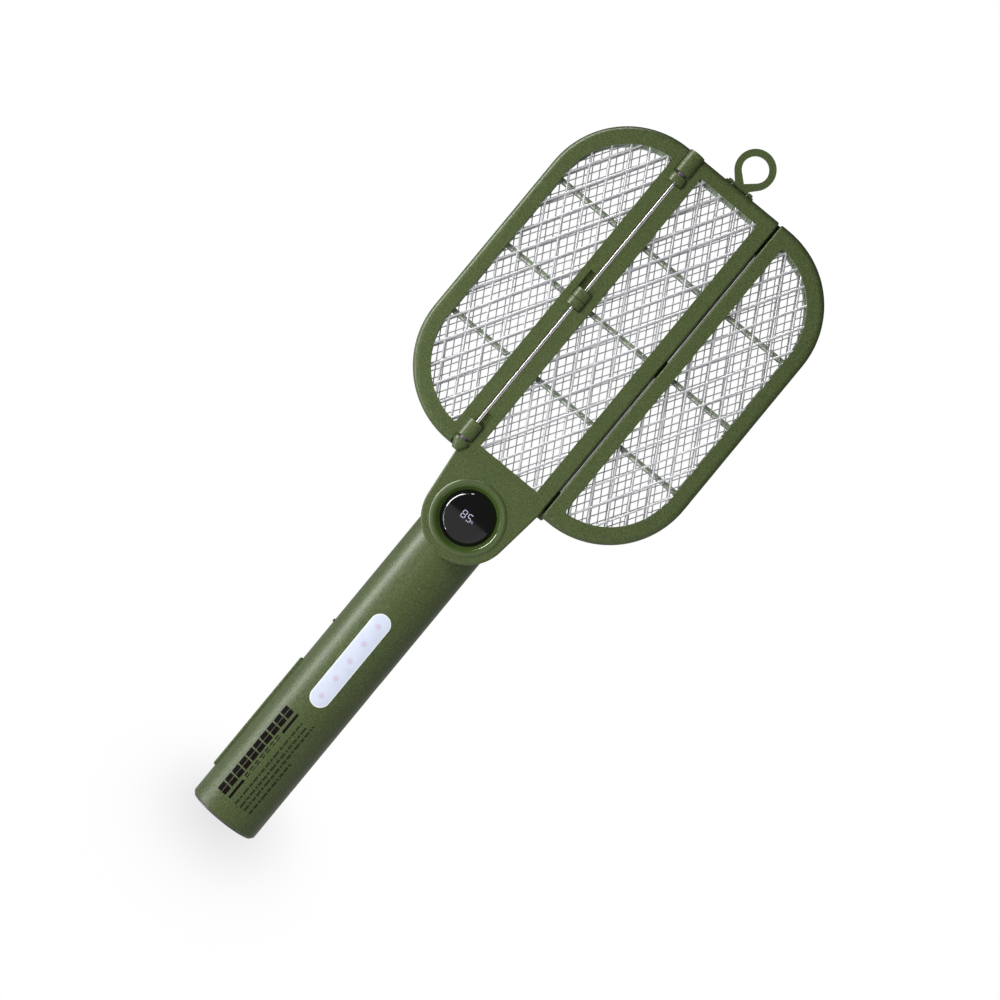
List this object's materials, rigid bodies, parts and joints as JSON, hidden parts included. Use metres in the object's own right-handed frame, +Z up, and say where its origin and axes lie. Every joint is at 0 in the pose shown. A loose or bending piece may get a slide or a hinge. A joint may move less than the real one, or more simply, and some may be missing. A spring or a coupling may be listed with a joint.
{
  "type": "electric fly swatter",
  "caption": "Foldable electric fly swatter: tube handle with lamp, trigger bar and charge socket, round display, and a wide mesh head of three hinged panels with a hanging ring.",
  "frame": {"origin": "centre of the flat foot at the bottom of the handle", "axes": "+Z up along the handle to the hanging ring, -Y out of the front with the display and lamp, +X to the viewer's right"},
  "size_m": [0.164, 0.0705, 0.4427],
  "materials": {
    "olive_plastic": "fine grained moulded plastic",
    "spacer_plastic": "smooth moulded plastic",
    "outer_grille_steel": "plated punched steel",
    "live_grille_steel": "plated punched steel",
    "purple_plastic": "smooth moulded",
    "steel_pins": "plated steel",
    "bezel_plastic": "glossy",
    "lens_plastic": "polished smoked plastic",
    "diffuser_plastic": "milky translucent",
    "circuit_board": "solder mask",
    "led_chip": "phosphor",
    "cell_wrap": "shrink wrap",
    "inner_plastic": "moulded",
    "black_component": "moulded epoxy",
    "ferrite": "sintered ferrite",
    "winding_tape": "taped winding",
    "film_capacitor": "dipped",
    "contact_metal": "nickel plated"
  },
  "bodies": {
    "handle": {"handle_front_shell": "olive_plastic", "handle_rear_shell": "olive_plastic", "handle_end_cap": "purple_plastic", "handle_screws": "steel_pins", "light_diffuser": "diffuser_plastic", "light_board": "circuit_board", "light_leds": "led_chip", "battery_cell": "cell_wrap", "battery_cradle": "inner_plastic", "battery_spring": "steel_pins", "battery_contact": "contact_metal", "main_board": "circuit_board", "transformer_core": "ferrite", "transformer_winding": "winding_tape", "hv_capacitor": "film_capacitor", "multiplier_diodes": "black_component", "control_chip": "black_component", "usb_socket": "contact_metal", "tact_switch": "black_component", "microswitch": "black_component", "pivot_turret": "olive_plastic", "turret_screws": "steel_pins", "friction_washer": "steel_pins"},
    "trigger": {"trigger_bar": "olive_plastic", "switch_plunger": "inner_plastic", "trigger_springs": "steel_pins"},
    "button": {"side_button": "inner_plastic"},
    "head": {"head_front_shell": "olive_plastic", "head_rear_shell": "olive_plastic", "head_front_grille": "outer_grille_steel", "head_front_spacer": "spacer_plastic", "head_live_grille": "live_grille_steel", "head_rear_spacer": "spacer_plastic", "head_rear_grille": "outer_grille_steel", "display_bezel": "bezel_plastic", "display_lens": "lens_plastic", "display_board": "circuit_board", "pivot_shaft": "inner_plastic", "pivot_retainer": "steel_pins", "head_screws": "steel_pins", "hinge_rods": "steel_pins", "hinge_bushes": "purple_plastic", "ring_pin": "steel_pins"},
    "left_wing": {"left_wing_front_shell": "olive_plastic", "left_wing_rear_shell": "olive_plastic", "left_wing_front_grille": "outer_grille_steel", "left_wing_front_spacer": "spacer_plastic", "left_wing_live_grille": "live_grille_steel", "left_wing_rear_spacer": "spacer_plastic", "left_wing_rear_grille": "outer_grille_steel"},
    "right_wing": {"right_wing_front_shell": "olive_plastic", "right_wing_rear_shell": "olive_plastic", "right_wing_front_grille": "outer_grille_steel", "right_wing_front_spacer": "spacer_plastic", "right_wing_live_grille": "live_grille_steel", "right_wing_rear_spacer": "spacer_plastic", "right_wing_rear_grille": "outer_grille_steel"},
    "ring": {"hanging_ring": "olive_plastic"}
  },
  "joints": [
    {"name": "head_fold", "type": "hinge", "parent": "handle", "child": "head", "pos_m": [0, -0.0396, 0.2018], "axis": [0, 1, 0], "range_deg": [0, 180]},
    {"name": "left_wing_fold", "type": "hinge", "parent": "head", "child": "left_wing", "pos_m": [-0.02745, -0.0461, 0.32], "axis": [0, 0, 1], "range_deg": [0, 180]},
    {"name": "right_wing_fold", "type": "hinge", "parent": "head", "child": "right_wing", "pos_m": [0.02745, -0.0331, 0.32], "axis": [0, 0, 1], "range_deg": [0, 180]},
    {"name": "ring_tip", "type": "hinge", "parent": "head", "child": "ring", "pos_m": [0, -0.0396, 0.4197], "axis": [1, 0, 0], "range_deg": [-90, 90]},
    {"name": "trigger_press", "type": "slide", "parent": "handle", "child": "trigger", "axis": [1, 0, 0], "range_m": [0, 0.0012], "stiffness_N_per_m": 1500, "springref_m": -0.0004, "deforming": ["trigger_springs"]},
    {"name": "button_press", "type": "slide", "parent": "handle", "child": "button", "axis": [1, 0, 0], "range_m": [0, 0.0004], "stiffness_N_per_m": 2000, "springref_m": -0.0002}
  ]
}
